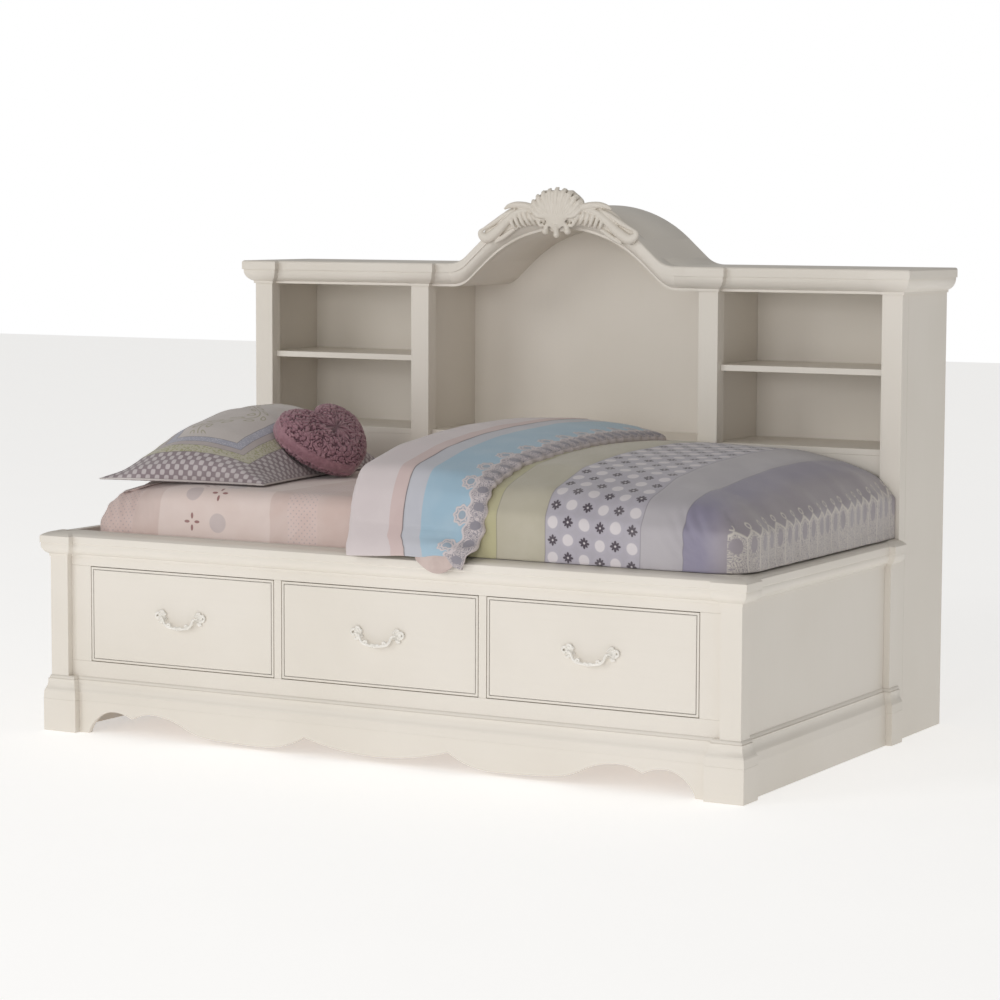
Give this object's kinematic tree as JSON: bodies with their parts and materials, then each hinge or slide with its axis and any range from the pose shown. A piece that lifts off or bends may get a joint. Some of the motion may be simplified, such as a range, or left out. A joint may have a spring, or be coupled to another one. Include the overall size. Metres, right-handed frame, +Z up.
{
  "type": "bookcase bed",
  "caption": "Painted single bed set sideways against a bookcase with shelved piers, an arched niche, a carved crest and a row of drawers under the made-up mattress.",
  "frame": {"origin": "on the floor, under the centre of the whole bed's bounding box", "axes": "+X along the bed towards the end seen at the right of the picture, -Y the way the drawers open, +Z up"},
  "size_m": [2.162, 1.381, 1.518],
  "materials": {
    "painted_wood": "warm off-white paint, satin",
    "bare_wood": "sanded pine, clear matt",
    "white_pull_metal": "white enamel, gloss",
    "runner_steel": "zinc plated, satin",
    "zinc_steel": "zinc plated, satin",
    "fitted_sheet": "printed cotton, matt",
    "duvet_cotton": "printed cotton, matt",
    "foldback_cotton": "printed cotton, matt",
    "pillow_cotton": "printed cotton, matt",
    "ruched_satin": "ruched cotton satin"
  },
  "bodies": {
    "bed": {"adjustable_shelves": "painted_wood", "arch_crown_moulding": "painted_wood", "bed_bolts": "zinc_steel", "bookcase_left_inner_side": "painted_wood", "bookcase_left_outer_side": "painted_wood", "bookcase_right_inner_side": "painted_wood", "bookcase_right_outer_side": "painted_wood", "bookcase_stiles": "painted_wood", "carved_crest": "painted_wood", "drawer_partitions": "bare_wood", "duvet": "duvet_cotton", "duvet_foldback": "foldback_cotton", "end_back_stiles": "painted_wood", "end_base_mouldings": "painted_wood", "end_cap_mouldings": "painted_wood", "end_plinths": "painted_wood", "face_frame_bottom_rail": "painted_wood", "face_frame_stiles": "painted_wood", "face_frame_top_rail": "painted_wood", "front_apron": "painted_wood", "front_base_moulding": "painted_wood", "front_cap_moulding": "painted_wood", "front_posts": "painted_wood", "heart_cushion": "ruched_satin", "left_end_panel": "painted_wood", "lower_front_panel": "painted_wood", "mattress": "fitted_sheet", "mattress_slats": "bare_wood", "niche_back_panel": "painted_wood", "niche_ledge": "painted_wood", "pier_back_panels": "painted_wood", "pier_ceilings": "painted_wood", "pier_crown_mouldings": "painted_wood", "pier_lower_shelves": "painted_wood", "pier_tops": "painted_wood", "pillow": "pillow_cotton", "right_end_panel": "painted_wood", "shelf_pins": "zinc_steel", "slat_ledgers": "bare_wood", "slide_outer_members": "runner_steel", "vault_roof": "painted_wood", "vault_soffit": "painted_wood"},
    "drawer_1": {"drawer_1_front": "painted_wood", "drawer_1_box": "bare_wood", "drawer_1_pull_plates": "white_pull_metal", "drawer_1_inner_slides": "runner_steel"},
    "drawer_1_runners": {"drawer_1_middle_slides": "runner_steel"},
    "drawer_1_handle": {"drawer_1_bail": "white_pull_metal"},
    "drawer_2": {"drawer_2_front": "painted_wood", "drawer_2_box": "bare_wood", "drawer_2_pull_plates": "white_pull_metal", "drawer_2_inner_slides": "runner_steel"},
    "drawer_2_runners": {"drawer_2_middle_slides": "runner_steel"},
    "drawer_2_handle": {"drawer_2_bail": "white_pull_metal"},
    "drawer_3": {"drawer_3_front": "painted_wood", "drawer_3_box": "bare_wood", "drawer_3_pull_plates": "white_pull_metal", "drawer_3_inner_slides": "runner_steel"},
    "drawer_3_runners": {"drawer_3_middle_slides": "runner_steel"},
    "drawer_3_handle": {"drawer_3_bail": "white_pull_metal"}
  },
  "joints": [
    {"name": "drawer_slide_1", "type": "slide", "parent": "bed", "child": "drawer_1", "axis": [0, -1, 0], "range_m": [0, 0.38]},
    {"name": "runner_slide_1", "type": "slide", "parent": "bed", "child": "drawer_1_runners", "axis": [0, -1, 0], "range_m": [0, 0.19]},
    {"name": "bail_hinge_1", "type": "hinge", "parent": "drawer_1", "child": "drawer_1_handle", "pos_m": [-0.628, -0.653, 0.342], "axis": [-1, 0, 0], "range_deg": [-20, 200]},
    {"name": "drawer_slide_2", "type": "slide", "parent": "bed", "child": "drawer_2", "axis": [0, -1, 0], "range_m": [0, 0.38]},
    {"name": "runner_slide_2", "type": "slide", "parent": "bed", "child": "drawer_2_runners", "axis": [0, -1, 0], "range_m": [0, 0.19]},
    {"name": "bail_hinge_2", "type": "hinge", "parent": "drawer_2", "child": "drawer_2_handle", "pos_m": [0, -0.653, 0.342], "axis": [-1, 0, 0], "range_deg": [-20, 200]},
    {"name": "drawer_slide_3", "type": "slide", "parent": "bed", "child": "drawer_3", "axis": [0, -1, 0], "range_m": [0, 0.38]},
    {"name": "runner_slide_3", "type": "slide", "parent": "bed", "child": "drawer_3_runners", "axis": [0, -1, 0], "range_m": [0, 0.19]},
    {"name": "bail_hinge_3", "type": "hinge", "parent": "drawer_3", "child": "drawer_3_handle", "pos_m": [0.628, -0.653, 0.342], "axis": [-1, 0, 0], "range_deg": [-20, 200]}
  ],
  "couplings": [
    {"joint": "runner_slide_1", "follows": "drawer_slide_1", "ratio": 0.5},
    {"joint": "runner_slide_2", "follows": "drawer_slide_2", "ratio": 0.5},
    {"joint": "runner_slide_3", "follows": "drawer_slide_3", "ratio": 0.5}
  ]
}
